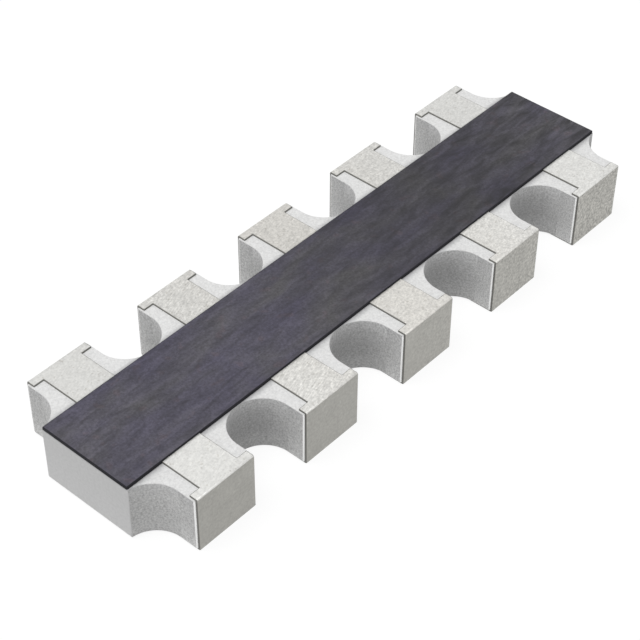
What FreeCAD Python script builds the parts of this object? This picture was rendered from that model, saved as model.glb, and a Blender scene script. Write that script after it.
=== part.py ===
import FreeCAD, Part
import os

import Sketcher

# Ten terminal thick film chip resistor network, in millimetres.
#
# +X runs along the row of terminals, +Z points up from the board, and the origin lies under the middle
# of the chip, on the plane of the solder lands. Terminals 1 to 5 are on the -Y side from -X to +X, and
# 6 to 10 are on the +Y side from +X back to -X, the order in which such chips are counted.
#
# The chip is built up as the real one is: a ceramic plate with round ended notches, silver prints on both
# faces, resistor films from each print to a bus along the middle, glass over each film, a laser cut
# through glass and film, one coating strip over them all, and plating wrapped round each finger.

doc = FreeCAD.newDocument("ResistorNetwork")

# Driving dimensions

sheet = doc.addObject("Spreadsheet::Sheet", "Sizes")
dimensions = [
    ("pitch", 1.27, "from one terminal to the next"),
    ("terminals_per_side", 5, "fingers on each long side"),
    ("end_setback", 0.033, "from the middle of the last notch back to the end face"),
    ("ceramic_width", 1.952, "across the bare fingers"),
    ("ceramic_thickness", 0.564, "of the plate"),
    ("notch_radius", 0.297, "of a notch's round end, and half the notch's width"),
    ("notch_depth", 0.4775, "from the outer face of a finger to the notch's deepest point"),
    ("terminal_margin", 0.014, "of bare ceramic on each side of a terminal"),
    ("stem_shoulder", 0.109, "by which a top pad's stem is narrower on each side than its lip"),
    ("lip_depth", 0.07, "from the finger's outer face to the inner edge of the lip"),
    ("land_depth", 0.356, "from the finger's outer face to the inner edge of the solder land"),
    ("plating_wrap", 0.006, "of plating beside a print's edge"),
    ("top_plating", 0.008, "over a top print"),
    ("side_plating", 0.019, "on the finger's outer face"),
    ("land_plating", 0.012, "under a back print"),
    ("edge_radius", 0.016, "on the outer edges of a terminal"),
    ("top_print", 0.007, "thickness of the top electrodes and the bus"),
    ("back_print", 0.009, "thickness of the back electrodes"),
    ("electrode_tab", 0.12, "by which a top electrode reaches in under the coating"),
    ("bus_width", 0.18, "of the bus along the middle"),
    ("bus_overrun", 0.04, "by which the bus passes a common terminal's branch"),
    ("film_width", 0.3, "of a resistor film, along the row"),
    ("film_thickness", 0.007, "of a resistor film"),
    ("film_overlap", 0.04, "of a resistor film onto the print at each end"),
    ("trim_depth", 0.12, "of the laser cut into a resistor film"),
    ("trim_width", 0.024, "of the laser cut"),
    ("glass_thickness", 0.007, "of the glass over a resistor film that lies on a print"),
    ("glass_margin", 0.02, "of glass past a resistor film all round"),
    ("coating_cover", 0.008, "of coating above the glass"),
    ("coating_margin", 0.003, "from the coating's edge to the deepest point of a notch"),
    ("cut_overrun", 0.1, "by which a cutting shape passes the face that it cuts"),
]
for row, (alias, value, meaning) in enumerate(dimensions, start=1):
    sheet.set(f"A{row}", alias)
    sheet.set(f"B{row}", str(value))
    sheet.set(f"C{row}", meaning)
    sheet.setAlias(f"B{row}", alias)
doc.recompute()

# Lengths worked out from the driving dimensions, as expressions that the document evaluates

CERAMIC_BOTTOM = "(Sizes.back_print + Sizes.land_plating)"
CERAMIC_TOP = f"({CERAMIC_BOTTOM} + Sizes.ceramic_thickness)"
CERAMIC_HALF_LENGTH = "(Sizes.pitch * Sizes.terminals_per_side / 2 - Sizes.end_setback)"
CERAMIC_HALF_WIDTH = "(Sizes.ceramic_width / 2)"
ROW_HALF_LENGTH = "(Sizes.pitch * (Sizes.terminals_per_side - 1) / 2)"
FIRST_NOTCH = "(-Sizes.pitch * Sizes.terminals_per_side / 2)"
NOTCH_CENTRE = f"({CERAMIC_HALF_WIDTH} - Sizes.notch_depth + Sizes.notch_radius)"
NOTCH_MOUTH = f"({CERAMIC_HALF_WIDTH} + Sizes.cut_overrun)"
TERMINAL_HALF_WIDTH = "(Sizes.pitch / 2 - Sizes.notch_radius - Sizes.terminal_margin)"
STEM_HALF_WIDTH = f"({TERMINAL_HALF_WIDTH} - Sizes.stem_shoulder)"
PAD_TOP = "(Sizes.ceramic_thickness + Sizes.top_print + Sizes.top_plating)"
LAND_BOTTOM = f"(-{CERAMIC_BOTTOM})"
COATING_SETBACK = "(Sizes.notch_depth + Sizes.coating_margin)"
COATING_HALF_WIDTH = f"({CERAMIC_HALF_WIDTH} - {COATING_SETBACK})"
GLASS_HEIGHT = "(Sizes.top_print + Sizes.film_thickness + Sizes.glass_thickness)"
COATING_HEIGHT = f"({GLASS_HEIGHT} + Sizes.coating_cover)"
BUS_EDGE = f"({CERAMIC_HALF_WIDTH} - Sizes.bus_width / 2)"
TAB_END = f"({COATING_SETBACK} + Sizes.electrode_tab)"
FILM_START = f"({TAB_END} - Sizes.film_overlap)"
FILM_END = f"({BUS_EDGE} + Sizes.film_overlap)"
FILM_HALF_WIDTH = "(Sizes.film_width / 2)"
TRIM_MIDDLE = f"(({TAB_END} + {BUS_EDGE}) / 2)"
TRIM_END = f"({FILM_HALF_WIDTH} - Sizes.trim_depth)"
GLASS_SIDE = f"({FILM_HALF_WIDTH} + Sizes.glass_margin)"


def origin_feature(body, role):
    """The origin plane or axis of a body that has this role."""
    for feature in body.Origin.OriginFeatures:
        if feature.Role == role:
            return feature
    raise ValueError(role)


def add_body(name):
    """An empty body, labelled with its own name."""
    body = doc.addObject("PartDesign::Body", name)
    body.Label = name
    return body


def add_sketch(body, role, height="0"):
    """A sketch on one of the body's own planes, raised from it by an expression."""
    sketch = body.newObject("Sketcher::SketchObject", f"{body.Name}_sketch")
    sketch.AttachmentSupport = [(origin_feature(body, role), "")]
    sketch.MapMode = "FlatFace"
    sketch.setExpression("AttachmentOffset.Base.z", height)
    return sketch


def constrain(sketch, expression, *terms):
    """A constraint whose size is bound to an expression."""
    number = sketch.addConstraint(Sketcher.Constraint(*terms, sketch.evalExpression(expression)))
    sketch.setExpression(f"Constraints[{number}]", expression)


def stepped_outline(sketch, walls):
    """A closed outline of upright and level walls that take turns.

    Each wall is (axis, place) or (axis, place, radius): axis x is an upright wall at x = place, axis y
    a level wall at y = place, and the radius rounds the corner that follows the wall.
    """
    count = len(walls)
    places = [sketch.evalExpression(wall[1]) for wall in walls]
    radii = [sketch.evalExpression(wall[2]) if len(wall) > 2 else 0 for wall in walls]

    def corner(index):
        """The corner that follows this wall, before it is rounded."""
        following = places[(index + 1) % count]
        if walls[index][0] == "x":
            return FreeCAD.Vector(places[index], following, 0)
        return FreeCAD.Vector(following, places[index], 0)

    lines = []
    for index, wall in enumerate(walls):
        along = (corner(index) - corner(index - 1)).normalize()
        start = corner(index - 1) + along * radii[index - 1]
        end = corner(index) - along * radii[index]
        line = sketch.addGeometry(Part.LineSegment(start, end), False)
        direction, measure = ("Vertical", "DistanceX") if wall[0] == "x" else ("Horizontal", "DistanceY")
        sketch.addConstraint(Sketcher.Constraint(direction, line))
        constrain(sketch, wall[1], measure, -1, 1, line, 1)
        lines.append(line)
    for index, wall in enumerate(walls):
        line = lines[index]
        following = lines[(index + 1) % count]
        if radii[index] == 0:
            sketch.addConstraint(Sketcher.Constraint("Coincident", line, 2, following, 1))
            continue
        before = (corner(index) - corner(index - 1)).normalize()
        after = (corner((index + 1) % count) - corner(index)).normalize()
        leaving = corner(index) - before * radii[index]
        arriving = corner(index) + after * radii[index]
        middle = leaving + after * radii[index] + (before - after).normalize() * radii[index]
        # An arc in a sketch runs anticlockwise, so at a right turn it is laid from its far end.
        if before.cross(after).z > 0:
            arc = sketch.addGeometry(Part.Arc(leaving, middle, arriving), False)
            near, far = 1, 2
        else:
            arc = sketch.addGeometry(Part.Arc(arriving, middle, leaving), False)
            near, far = 2, 1
        sketch.addConstraint(Sketcher.Constraint("Tangent", line, 2, arc, near))
        sketch.addConstraint(Sketcher.Constraint("Tangent", arc, far, following, 1))
        constrain(sketch, wall[2], "Radius", arc)


def rectangle(sketch, left, right, low, high):
    """A rectangle between two upright walls and two level walls."""
    stepped_outline(sketch, [("x", left), ("y", high), ("x", right), ("y", low)])


def pad(body, sketch, length, both_ways=False):
    """A pad of the sketch, upwards from its plane or to both sides of it."""
    feature = body.newObject("PartDesign::Pad", f"{body.Name}_pad")
    feature.Profile = sketch
    feature.Midplane = both_ways
    feature.setExpression("Length", length)
    return feature


def take_out(name, outside, covered):
    """The piece that is left of a body once the shapes of the pieces it covers are taken out of it."""
    shapes = doc.addObject("Part::MultiFuse", f"{name}_covers")
    shapes.Shapes = covered
    piece = doc.addObject("Part::Cut", name)
    piece.Base = outside
    piece.Tool = shapes
    piece.Label = name
    return piece


def place(thing, height, index, far_side):
    """Puts a thing at a finger: its origin on the finger's outer face, turned about if on the +Y side."""
    turn = 180 if far_side else 0
    side = "1" if far_side else "-1"
    thing.Placement.Rotation = FreeCAD.Rotation(FreeCAD.Vector(0, 0, 1), turn)
    thing.setExpression("Placement.Base.x", f"({index} - (Sizes.terminals_per_side - 1) / 2) * Sizes.pitch")
    thing.setExpression("Placement.Base.y", f"{side} * {CERAMIC_HALF_WIDTH}")
    thing.setExpression("Placement.Base.z", height)


def notch_outline(sketch, side):
    """The first notch on one long side: a half circle and two straight walls out past the fingers."""
    centre_x = sketch.evalExpression(FIRST_NOTCH)
    centre_y = side * sketch.evalExpression(NOTCH_CENTRE)
    mouth_y = side * sketch.evalExpression(NOTCH_MOUTH)
    radius = sketch.evalExpression("Sizes.notch_radius")
    deepest = FreeCAD.Vector(centre_x, centre_y - side * radius, 0)
    # An arc in a sketch runs anticlockwise, so it starts on the +X wall of a notch that opens to -Y.
    first = FreeCAD.Vector(centre_x - side * radius, centre_y, 0)
    last = FreeCAD.Vector(centre_x + side * radius, centre_y, 0)
    first_mouth = FreeCAD.Vector(first.x, mouth_y, 0)
    last_mouth = FreeCAD.Vector(last.x, mouth_y, 0)
    arc = sketch.addGeometry(Part.Arc(first, deepest, last), False)
    last_wall = sketch.addGeometry(Part.LineSegment(last, last_mouth), False)
    mouth = sketch.addGeometry(Part.LineSegment(last_mouth, first_mouth), False)
    first_wall = sketch.addGeometry(Part.LineSegment(first_mouth, first), False)
    sketch.addConstraint(Sketcher.Constraint("Tangent", arc, 2, last_wall, 1))
    sketch.addConstraint(Sketcher.Constraint("Coincident", last_wall, 2, mouth, 1))
    sketch.addConstraint(Sketcher.Constraint("Coincident", mouth, 2, first_wall, 1))
    sketch.addConstraint(Sketcher.Constraint("Tangent", first_wall, 2, arc, 1))
    sketch.addConstraint(Sketcher.Constraint("Vertical", last_wall))
    sketch.addConstraint(Sketcher.Constraint("Vertical", first_wall))
    sketch.addConstraint(Sketcher.Constraint("Horizontal", mouth))
    constrain(sketch, "Sizes.notch_radius", "Radius", arc)
    constrain(sketch, FIRST_NOTCH, "DistanceX", -1, 1, arc, 3)
    constrain(sketch, f"{side} * {NOTCH_CENTRE}", "DistanceY", -1, 1, arc, 3)
    constrain(sketch, f"{side} * {NOTCH_MOUTH}", "DistanceY", -1, 1, mouth, 1)


def make_ceramic():
    """The alumina plate. The row of notches runs on to the end faces, which halve the last ones."""
    body = add_body("ceramic_substrate")
    plate_sketch = add_sketch(body, "XY_Plane")
    rectangle(plate_sketch, f"-{CERAMIC_HALF_LENGTH}", CERAMIC_HALF_LENGTH,
              f"-{CERAMIC_HALF_WIDTH}", CERAMIC_HALF_WIDTH)
    pad(body, plate_sketch, "Sizes.ceramic_thickness")
    notch_sketch = add_sketch(body, "XY_Plane")
    for side in (-1, 1):
        notch_outline(notch_sketch, side)
    notches = body.newObject("PartDesign::Pocket", "end_notches")
    notches.Profile = notch_sketch
    notches.Type = "ThroughAll"
    notches.Midplane = True
    row_of_notches = body.newObject("PartDesign::LinearPattern", "row_of_notches")
    row_of_notches.Originals = [notches]
    row_of_notches.Direction = (origin_feature(body, "X_Axis"), [""])
    row_of_notches.setExpression("Length", "Sizes.pitch * Sizes.terminals_per_side")
    row_of_notches.setExpression("Occurrences", "Sizes.terminals_per_side + 1")
    body.Tip = row_of_notches
    body.setExpression("Placement.Base.z", CERAMIC_BOTTOM)
    return body


def top_print_outline(sketch, inner_end):
    """The T shape of a top print on its finger: a lip along the outer face and a stem to the inner end."""
    lip_half_width = f"({TERMINAL_HALF_WIDTH} - Sizes.plating_wrap)"
    stem_half_width = f"({STEM_HALF_WIDTH} - Sizes.plating_wrap)"
    lip_end = "(Sizes.lip_depth - Sizes.plating_wrap)"
    stepped_outline(sketch, [
        ("x", f"-{lip_half_width}"), ("y", lip_end), ("x", f"-{stem_half_width}"), ("y", inner_end),
        ("x", stem_half_width), ("y", lip_end), ("x", lip_half_width), ("y", "0"),
    ])


def make_top_electrode(name, index, far_side):
    """The silver print of one terminal, from its finger's outer face to its tab under the coating."""
    body = add_body(name)
    sketch = add_sketch(body, "XY_Plane")
    top_print_outline(sketch, TAB_END)
    pad(body, sketch, "Sizes.top_print")
    place(body, CERAMIC_TOP, index, far_side)
    return body


def make_common_electrode():
    """The bus along the middle, with the two common terminals' prints, half a turn apart, joined to it."""
    body = add_body("common_electrode")
    bus_half_length = f"({ROW_HALF_LENGTH} + {STEM_HALF_WIDTH} + Sizes.bus_overrun)"
    bus_sketch = add_sketch(body, "XY_Plane")
    rectangle(bus_sketch, f"-{bus_half_length}", bus_half_length,
              "-Sizes.bus_width / 2", "Sizes.bus_width / 2")
    pad(body, bus_sketch, "Sizes.top_print")
    branch_sketch = add_sketch(body, "XY_Plane")
    top_print_outline(branch_sketch, CERAMIC_HALF_WIDTH)
    branch_sketch.setExpression("AttachmentOffset.Base.x", ROW_HALF_LENGTH)
    branch_sketch.setExpression("AttachmentOffset.Base.y", f"-{CERAMIC_HALF_WIDTH}")
    branch = pad(body, branch_sketch, "Sizes.top_print")
    both_branches = body.newObject("PartDesign::PolarPattern", "both_branches")
    both_branches.Originals = [branch]
    both_branches.Axis = (origin_feature(body, "Z_Axis"), [""])
    both_branches.Angle = 360
    both_branches.Occurrences = 2
    body.Tip = both_branches
    body.setExpression("Placement.Base.z", CERAMIC_TOP)
    return body


def make_back_electrode(name, index, far_side):
    """The silver print under one finger, which the plating of the solder land covers."""
    body = add_body(name)
    sketch = add_sketch(body, "XY_Plane")
    half_width = f"({TERMINAL_HALF_WIDTH} - Sizes.plating_wrap)"
    rectangle(sketch, f"-{half_width}", half_width, "0", "Sizes.land_depth - Sizes.plating_wrap")
    pad(body, sketch, "Sizes.back_print")
    place(body, "Sizes.land_plating", index, far_side)
    return body


def make_terminal(name, index, far_side, prints):
    """The plated terminal: a C section with rounded outer edges, and the stem of the T shaped top pad.

    It is plated over the prints on both faces of the finger, so their shapes are taken out of it.
    """
    body = add_body(f"{name}_outside")
    section = add_sketch(body, "YZ_Plane")
    top_radius = "min(Sizes.edge_radius; Sizes.side_plating + Sizes.top_plating)"
    land_radius = "min(Sizes.edge_radius; Sizes.side_plating + Sizes.land_plating)"
    stepped_outline(section, [
        ("x", "-Sizes.side_plating", top_radius), ("y", PAD_TOP), ("x", "Sizes.lip_depth"),
        ("y", "Sizes.ceramic_thickness"), ("x", "0"), ("y", "0"), ("x", "Sizes.land_depth"),
        ("y", LAND_BOTTOM, land_radius),
    ])
    pad(body, section, f"2 * {TERMINAL_HALF_WIDTH}", both_ways=True)
    stem = add_sketch(body, "XY_Plane", "Sizes.ceramic_thickness")
    rectangle(stem, f"-{STEM_HALF_WIDTH}", STEM_HALF_WIDTH, "0", COATING_SETBACK)
    pad(body, stem, "Sizes.top_print + Sizes.top_plating")
    place(body, CERAMIC_BOTTOM, index, far_side)
    return take_out(name, body, prints)


def make_resistor_film(name, index, far_side):
    """One resistor film. It steps up onto the print at each end, and a laser cut from its side trims it."""
    body = add_body(name)
    section = add_sketch(body, "YZ_Plane")
    low_top = "Sizes.film_thickness"
    high_top = "(Sizes.top_print + Sizes.film_thickness)"
    stepped_outline(section, [
        ("x", FILM_START), ("y", high_top),
        ("x", f"({TAB_END} + Sizes.film_thickness)"), ("y", low_top),
        ("x", f"({BUS_EDGE} - Sizes.film_thickness)"), ("y", high_top),
        ("x", FILM_END), ("y", "Sizes.top_print"),
        ("x", BUS_EDGE), ("y", "0"),
        ("x", TAB_END), ("y", "Sizes.top_print"),
    ])
    pad(body, section, "Sizes.film_width", both_ways=True)
    cut_sketch = add_sketch(body, "XY_Plane")
    rectangle(cut_sketch, TRIM_END, f"({FILM_HALF_WIDTH} + Sizes.cut_overrun)",
              f"({TRIM_MIDDLE} - Sizes.trim_width / 2)", f"({TRIM_MIDDLE} + Sizes.trim_width / 2)")
    cut = body.newObject("PartDesign::Pocket", f"{name}_laser_cut")
    cut.Profile = cut_sketch
    cut.Type = "ThroughAll"
    cut.Midplane = True
    place(body, CERAMIC_TOP, index, far_side)
    return body


def make_glass_undercoat(name, index, far_side, covered):
    """The glass over one resistor film, level on top, with the same laser cut through it."""
    body = add_body(f"{name}_outside")
    sketch = add_sketch(body, "XY_Plane")
    cut_edge = f"({TRIM_MIDDLE} + Sizes.trim_width / 2)"
    stepped_outline(sketch, [
        ("x", f"-{GLASS_SIDE}"), ("y", f"({FILM_END} + Sizes.glass_margin)"),
        ("x", GLASS_SIDE), ("y", cut_edge),
        ("x", TRIM_END), ("y", f"({TRIM_MIDDLE} - Sizes.trim_width / 2)"),
        ("x", GLASS_SIDE), ("y", f"({FILM_START} - Sizes.glass_margin)"),
    ])
    pad(body, sketch, GLASS_HEIGHT)
    place(body, CERAMIC_TOP, index, far_side)
    return take_out(name, body, covered)


def make_coating(covered):
    """The dark strip over the whole circuit, as long as the chip and snapped off with it.

    It takes the shape of all that it covers.
    """
    body = add_body("protective_overcoat_outside")
    sketch = add_sketch(body, "XY_Plane")
    rectangle(sketch, f"-{CERAMIC_HALF_LENGTH}", CERAMIC_HALF_LENGTH,
              f"-{COATING_HALF_WIDTH}", COATING_HALF_WIDTH)
    pad(body, sketch, COATING_HEIGHT)
    body.setExpression("Placement.Base.z", CERAMIC_TOP)
    return take_out("protective_overcoat", body, covered)


# The pieces

subparts = [make_ceramic()]
common_electrode = make_common_electrode()
circuit_parts = [common_electrode]
terminals_per_side = int(sheet.terminals_per_side)
film_count = 0
for number in range(1, 2 * terminals_per_side + 1):
    far_side = number > terminals_per_side
    index = 2 * terminals_per_side - number if far_side else number - 1
    is_common = number % terminals_per_side == 0
    back_electrode = make_back_electrode(f"back_electrode_{number:02d}", index, far_side)
    subparts.append(back_electrode)
    if is_common:
        top_electrode = common_electrode
    else:
        film_count += 1
        top_electrode = make_top_electrode(f"top_electrode_{number:02d}", index, far_side)
        film = make_resistor_film(f"resistor_film_{film_count}", index, far_side)
        under_glass = [top_electrode, film, common_electrode]
        glass = make_glass_undercoat(f"glass_undercoat_{film_count}", index, far_side, under_glass)
        circuit_parts += [top_electrode, film, glass]
    prints = [top_electrode, back_electrode]
    subparts.append(make_terminal(f"terminal_{number:02d}", index, far_side, prints))
subparts += circuit_parts
subparts.append(make_coating(circuit_parts))

doc.recompute()

# Checks, before anything is written

for thing in doc.Objects:
    if "Invalid" in thing.State or "Error" in thing.State:
        raise RuntimeError(f"{thing.Label} did not build: {thing.State}")
for subpart in subparts:
    shape = subpart.Shape
    if shape.isNull() or not shape.isValid() or len(shape.Solids) != 1:
        raise RuntimeError(f"{subpart.Label} is not one valid solid")

os.makedirs("parts", exist_ok=True)
whole = FreeCAD.BoundBox()
for subpart in subparts:
    subpart.Shape.exportStep(f"parts/{subpart.Label}.step")
    whole.add(subpart.Shape.BoundBox)
    print(f"{subpart.Label}: {subpart.Shape.Volume:.5f} cubic mm")
print(f"{len(subparts)} pieces, {whole.XLength:.3f} x {whole.YLength:.3f} x {whole.ZLength:.3f} mm")
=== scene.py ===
# %% [markdown]
# # A chip resistor network, dressed for its portrait
#
# The part is a chip no longer than a grain of rice: a white ceramic plate whose long sides are cut into
# fingers, a plated terminal wrapped round the end of each finger, and a dark coating printed along the
# middle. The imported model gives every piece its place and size. This file gives the pieces their edges
# and finishes, and sets up the camera, the table and the light.

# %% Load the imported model
import math

import bmesh
import bpy
from mathutils import Matrix, Vector


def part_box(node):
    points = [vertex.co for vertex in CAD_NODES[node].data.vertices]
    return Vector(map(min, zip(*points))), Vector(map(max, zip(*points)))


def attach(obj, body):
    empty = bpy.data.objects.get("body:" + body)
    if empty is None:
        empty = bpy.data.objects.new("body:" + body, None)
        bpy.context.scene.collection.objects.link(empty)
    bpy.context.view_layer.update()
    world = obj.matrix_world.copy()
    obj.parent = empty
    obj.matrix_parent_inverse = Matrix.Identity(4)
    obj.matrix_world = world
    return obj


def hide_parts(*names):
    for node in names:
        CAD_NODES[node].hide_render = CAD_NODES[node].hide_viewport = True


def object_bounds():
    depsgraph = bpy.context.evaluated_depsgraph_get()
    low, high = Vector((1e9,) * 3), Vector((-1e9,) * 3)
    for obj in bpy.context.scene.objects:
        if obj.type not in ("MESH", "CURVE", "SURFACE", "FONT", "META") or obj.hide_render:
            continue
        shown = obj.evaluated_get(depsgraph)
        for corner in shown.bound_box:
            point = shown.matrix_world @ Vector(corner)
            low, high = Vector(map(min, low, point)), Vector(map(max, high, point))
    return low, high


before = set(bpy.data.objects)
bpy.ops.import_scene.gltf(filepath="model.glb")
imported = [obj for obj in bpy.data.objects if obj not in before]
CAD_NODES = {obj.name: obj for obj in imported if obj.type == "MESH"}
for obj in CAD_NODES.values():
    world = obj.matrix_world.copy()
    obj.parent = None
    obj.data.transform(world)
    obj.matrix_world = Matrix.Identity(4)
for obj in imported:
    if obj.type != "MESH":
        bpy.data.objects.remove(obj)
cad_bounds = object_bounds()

MM = 0.001
cad_low, cad_high = (Vector(corner) for corner in cad_bounds)
print("chip:", [round(side / MM, 3) for side in cad_high - cad_low], "mm")

# %% [markdown]
# ## Sizes
#
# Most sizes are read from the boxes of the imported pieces, so that the looks follow the model when it
# changes. The few that no box shows, such as the radius of a notch, are given here in millimetres.

# %% Read the sizes
ceramic_low, ceramic_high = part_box("ceramic_substrate")
coating_low, coating_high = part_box("protective_overcoat")
terminal_low, terminal_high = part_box("terminal_03")
neighbour_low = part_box("terminal_04")[0]
land_print_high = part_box("back_electrode_03")[1]

TERMINALS_PER_SIDE = 5
BARE_MARGIN = 0.014 * MM
PLATING_BESIDE_PRINT = 0.006 * MM
LIP_DEPTH = 0.07 * MM
STEM_SHOULDER = 0.109 * MM
NOTCH_DEPTH = 0.4775 * MM
TERMINAL_RADIUS = 0.016 * MM

pitch = neighbour_low.x - terminal_low.x
terminal_half_width = (terminal_high.x - terminal_low.x) / 2
notch_radius = pitch / 2 - terminal_half_width - BARE_MARGIN
finger_face = ceramic_low.y
notch_centre_y = finger_face + NOTCH_DEPTH - notch_radius
print("pitch", round(pitch / MM, 4), "notch radius", round(notch_radius / MM, 4), "mm")

# %% [markdown]
# ## Camera
#
# A long lens from above the near corner, so that the far terminals look nearly as large as the near
# ones. The place and the point it looks at were found by matching the corners of the chip.

# %% Place the camera
CAMERA_PLACE = Vector((-9.135, -7.813, 10.968)) * MM
CAMERA_AIM = Vector((-0.189, 0.1065, 0.0083)) * MM
CAMERA_ROLL = math.radians(0.240)
CAMERA_LENS_MM = 99.86
CAMERA_SENSOR_MM = 36.0
CAMERA_NEAR = 1 * MM
CAMERA_FAR = 2000 * MM

camera_data = bpy.data.cameras.new("portrait_camera")
camera_data.lens = CAMERA_LENS_MM
camera_data.sensor_width = CAMERA_SENSOR_MM
camera_data.clip_start = CAMERA_NEAR
camera_data.clip_end = CAMERA_FAR
camera = bpy.data.objects.new("portrait_camera", camera_data)
bpy.context.scene.collection.objects.link(camera)
look = (CAMERA_AIM - CAMERA_PLACE).to_track_quat("-Z", "Y").to_matrix().to_4x4()
camera.matrix_world = Matrix.Translation(CAMERA_PLACE) @ look @ Matrix.Rotation(CAMERA_ROLL, 4, "Z")
bpy.context.scene.camera = camera
bpy.context.scene.view_settings.view_transform = "Standard"
print("camera stands", round((CAMERA_AIM - CAMERA_PLACE).length / MM, 2), "mm from its aim")

# %% [markdown]
# ## Node helpers
#
# A material is a small graph of nodes. These helpers keep the cells below short: each adds one kind of
# node, sets its values and joins it to the sockets that it is given.


# %% Helpers for node graphs
MIX_FIRST_COLOUR, MIX_SECOND_COLOUR = 6, 7
MIX_COLOUR_RESULT = 2


def add_node(tree, kind, values=None, **settings):
    """A new node, with its settings, and its input values by socket name or number."""
    node = tree.nodes.new(kind)
    for name, setting in settings.items():
        setattr(node, name, setting)
    for socket, value in (values or {}).items():
        node.inputs[socket].default_value = value
    return node


def new_material(name, colour, **shader_values):
    """A material with a Principled shader whose constant values are set by socket name."""
    material = bpy.data.materials.new(name)
    material.use_nodes = True
    material.diffuse_color = (*colour, 1)
    shader = material.node_tree.nodes["Principled BSDF"]
    shader.inputs["Base Color"].default_value = (*colour, 1)
    for socket, value in shader_values.items():
        shader.inputs[socket.replace("_", " ")].default_value = value
    return material, material.node_tree, shader


def feed(tree, socket, source):
    """Sets a socket to a number or a colour, or joins it to another socket."""
    if isinstance(source, bpy.types.NodeSocket):
        tree.links.new(source, socket)
    elif isinstance(source, tuple):
        socket.default_value = (*source, 1)
    else:
        socket.default_value = source


def math_node(tree, operation, first, second=0.0):
    """The result of a sum on two numbers or sockets."""
    node = add_node(tree, "ShaderNodeMath", operation=operation)
    feed(tree, node.inputs[0], first)
    feed(tree, node.inputs[1], second)
    return node.outputs[0]


def mix_colours(tree, mask, first, second):
    """The first colour where the mask is 0, and the second where it is 1."""
    mix = add_node(tree, "ShaderNodeMix", data_type="RGBA")
    feed(tree, mix.inputs["Factor"], mask)
    feed(tree, mix.inputs[MIX_FIRST_COLOUR], first)
    feed(tree, mix.inputs[MIX_SECOND_COLOUR], second)
    return mix.outputs[MIX_COLOUR_RESULT]


def weaken(tree, mask, share):
    """A mask that reaches only this share of its strength."""
    return math_node(tree, "MULTIPLY", mask, share)


def shade_colour(tree, colour, *shades):
    """A colour made lighter or darker by one or more values about 1."""
    for shade in shades:
        scaled = add_node(tree, "ShaderNodeVectorMath", operation="SCALE")
        if isinstance(colour, tuple):
            scaled.inputs[0].default_value = colour
        else:
            tree.links.new(colour, scaled.inputs[0])
        feed(tree, scaled.inputs["Scale"], shade)
        colour = scaled.outputs[0]
    return colour


def vary(tree, mask, low, high):
    """A value that goes from low to high with a mask."""
    span = add_node(tree, "ShaderNodeMapRange", values={"To Min": low, "To Max": high})
    tree.links.new(mask, span.inputs["Value"])
    return span.outputs["Result"]


def band(tree, place, start, end):
    """A soft mask that is 0 at one place and 1 at another."""
    span = add_node(tree, "ShaderNodeMapRange", interpolation_type="SMOOTHSTEP",
                    values={"From Min": start, "From Max": end})
    tree.links.new(place, span.inputs["Value"])
    return span.outputs["Result"]


def add_bump(tree, shader, height, depth):
    """Relief of this depth on the shader."""
    bump = add_node(tree, "ShaderNodeBump", values={"Distance": depth})
    tree.links.new(height, bump.inputs["Height"])
    tree.links.new(bump.outputs[0], shader.inputs["Normal"])


# %% [markdown]
# ## Table and light
#
# The chip stands on a plain white table under one broad soft lamp, high up behind its near end, so that
# the sides that face the camera are in gentle shade. A little even light comes from all round. The table
# looks white to the camera and in reflections by its own colour, so that the lamp can stay gentle. Part
# of it is still lit by the lamp, which keeps the soft shadow under the chip.

# %% Table, world and lamp
TABLE_SIZE = 600 * MM
TABLE_SHADE = 0.53
TABLE_OWN_WHITE = 0.9
TABLE_LIT_SHADE = 0.13
WORLD_LEVEL = 0.5
LAMP_SIZE = 60 * MM
LAMP_DISTANCE = 100 * MM
LAMP_DIRECTION = Vector((-0.29, 0.17, 0.94)).normalized()
LAMP_LEVEL = 0.48


def seen_directly(tree):
    """1 for rays that show a surface to the camera, straight or by reflection, and 0 for lighting rays."""
    light_path = add_node(tree, "ShaderNodeLightPath")
    to_camera, by_reflection, through_glass = (
        light_path.outputs[ray] for ray in ("Is Camera Ray", "Is Glossy Ray", "Is Transmission Ray"))
    shown = math_node(tree, "MAXIMUM", to_camera, by_reflection)
    return math_node(tree, "MAXIMUM", shown, through_glass)


def make_table():
    """A white table top with a soft shadow."""
    bm = bmesh.new()
    bmesh.ops.create_grid(bm, x_segments=8, y_segments=8, size=TABLE_SIZE / 2)
    mesh = bpy.data.meshes.new("table_top")
    bm.to_mesh(mesh)
    bm.free()
    table = bpy.data.objects.new("table_top", mesh)
    bpy.context.scene.collection.objects.link(table)
    material, tree, shader = new_material("white_table", (TABLE_SHADE,) * 3, Roughness=0.9,
                                          Specular_IOR_Level=0.1)
    glow = add_node(tree, "ShaderNodeEmission", values={"Color": (1, 1, 1, 1), "Strength": TABLE_OWN_WHITE})
    dim = add_node(tree, "ShaderNodeBsdfDiffuse", values={"Color": (TABLE_LIT_SHADE,) * 3 + (1,)})
    shown = add_node(tree, "ShaderNodeAddShader")
    chosen = add_node(tree, "ShaderNodeMixShader")
    tree.links.new(glow.outputs[0], shown.inputs[0])
    tree.links.new(dim.outputs[0], shown.inputs[1])
    tree.links.new(seen_directly(tree), chosen.inputs["Fac"])
    tree.links.new(shader.outputs[0], chosen.inputs[1])
    tree.links.new(shown.outputs[0], chosen.inputs[2])
    tree.links.new(chosen.outputs[0], tree.nodes["Material Output"].inputs["Surface"])
    mesh.materials.append(material)


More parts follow.
